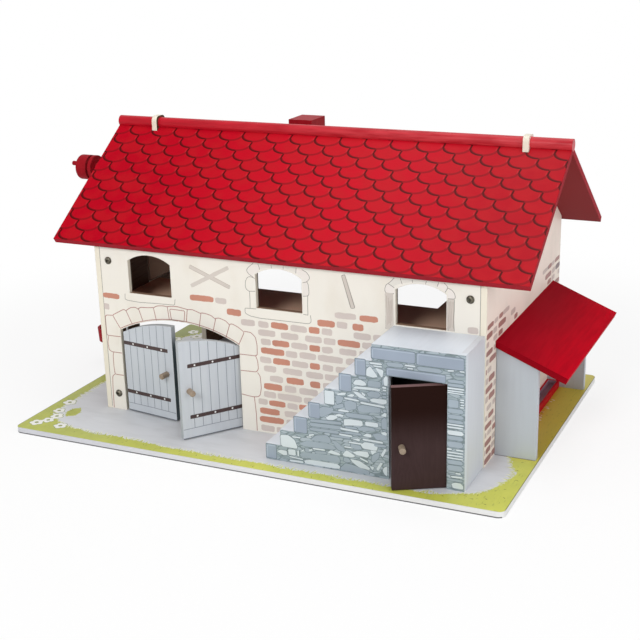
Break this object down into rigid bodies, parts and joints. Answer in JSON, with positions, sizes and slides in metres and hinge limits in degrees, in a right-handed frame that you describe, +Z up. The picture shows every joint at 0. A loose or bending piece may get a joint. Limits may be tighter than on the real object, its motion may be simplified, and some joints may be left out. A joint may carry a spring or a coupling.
{
  "type": "toy barn with opening doors",
  "caption": "wooden toy barn on a base board, with a lifting roof panel, a loft, arched double doors, stairs over a cellar, a lean-to and a crank hoist with a bucket",
  "frame": {"origin": "centre of the base board's underside", "axes": "+X along the front to the right, +Y to the back, +Z up"},
  "size_m": [0.5949, 0.3577, 0.296],
  "materials": {
    "printed_wall": "satin print on board",
    "printed_ground": "satin print on board",
    "red_paint": "gloss paint",
    "stair_paint": "satin paint",
    "door_paint": "satin paint",
    "brown_paint": "satin paint",
    "bare_wood": "sanded",
    "zinc_steel": "zinc plated",
    "brass": "turned",
    "white_cord": "twisted cotton"
  },
  "bodies": {
    "house": {"base_board": "printed_ground", "base_screws": "zinc_steel", "corner_posts": "brown_paint", "insert_nuts": "brass", "wall_bolts": "zinc_steel", "front_wall": "printed_wall", "left_gable_wall": "printed_wall", "right_gable_wall": "printed_wall", "back_eave_rail": "brown_paint", "partition_wall": "brown_paint", "loft_floor": "brown_paint", "loft_cleats": "brown_paint", "roof_back": "red_paint", "chimney": "red_paint", "stair_front_panel": "stair_paint", "stair_side_panel": "stair_paint", "stair_treads": "stair_paint", "stair_risers": "stair_paint", "landing_board": "stair_paint", "leanto_roof": "red_paint", "leanto_supports": "stair_paint", "leanto_trough": "red_paint", "hoist_socket": "brown_paint", "hoist_arm": "red_paint", "drum_screw": "zinc_steel", "drum_washer": "zinc_steel", "hoist_cord": "white_cord"},
    "left_door": {"door_left": "door_paint", "door_left_peg": "bare_wood", "door_left_pins": "zinc_steel"},
    "right_door": {"door_right": "door_paint", "door_right_peg": "bare_wood", "door_right_pins": "zinc_steel"},
    "cellar_leaf": {"cellar_door": "brown_paint", "cellar_door_peg": "bare_wood", "cellar_door_pins": "zinc_steel"},
    "hatch_front": {"loft_door_front": "door_paint", "loft_door_front_peg": "bare_wood", "loft_door_front_pins": "zinc_steel"},
    "hatch_back": {"loft_door_back": "door_paint", "loft_door_back_peg": "bare_wood", "loft_door_back_pins": "zinc_steel"},
    "lifting_roof": {"roof_front": "red_paint", "ridge_rod": "red_paint"},
    "crank_drum": {"hoist_drum": "red_paint", "crank_peg": "red_paint", "cord_winding": "white_cord"},
    "bucket": {"lift_bucket": "red_paint", "bucket_bail": "zinc_steel", "cord_knot": "white_cord"}
  },
  "joints": [
    {"name": "left_door_hinge", "type": "hinge", "parent": "house", "child": "left_door", "pos_m": [-0.1702, -0.0943, 0.006], "axis": [0, 0, -1], "range_deg": [-8.3, 95]},
    {"name": "right_door_hinge", "type": "hinge", "parent": "house", "child": "right_door", "pos_m": [-0.0436, -0.0943, 0.006], "axis": [0, 0, 1], "range_deg": [-52.8, 50]},
    {"name": "cellar_door_hinge", "type": "hinge", "parent": "house", "child": "cellar_leaf", "pos_m": [0.1942, -0.149, 0.006], "axis": [0, 0, 1], "range_deg": [-28.7, 75]},
    {"name": "hatch_front_hinge", "type": "hinge", "parent": "house", "child": "hatch_front", "pos_m": [-0.1971, -0.0047, 0.121], "axis": [0, 0, 1], "range_deg": [0, 104]},
    {"name": "hatch_back_hinge", "type": "hinge", "parent": "house", "child": "hatch_back", "pos_m": [-0.1971, 0.0741, 0.121], "axis": [0, 0, -1], "range_deg": [0, 104]},
    {"name": "roof_hinge", "type": "hinge", "parent": "house", "child": "lifting_roof", "pos_m": [0, 0.0347, 0.28813], "axis": [-1, 0, 0], "range_deg": [0, 170]},
    {"name": "drum_turn", "type": "hinge", "parent": "house", "child": "crank_drum", "pos_m": [-0.29, 0.0347, 0.23343], "axis": [1, 0, 0], "range_deg": [0, 888]},
    {"name": "bucket_lift", "type": "slide", "parent": "house", "child": "bucket", "axis": [0, 0, 1], "range_m": [0, 0.155], "deforming": ["hoist_cord"]}
  ],
  "couplings": [
    {"joint": "bucket_lift", "follows": "drum_turn", "m_per_rad": 0.01}
  ]
}
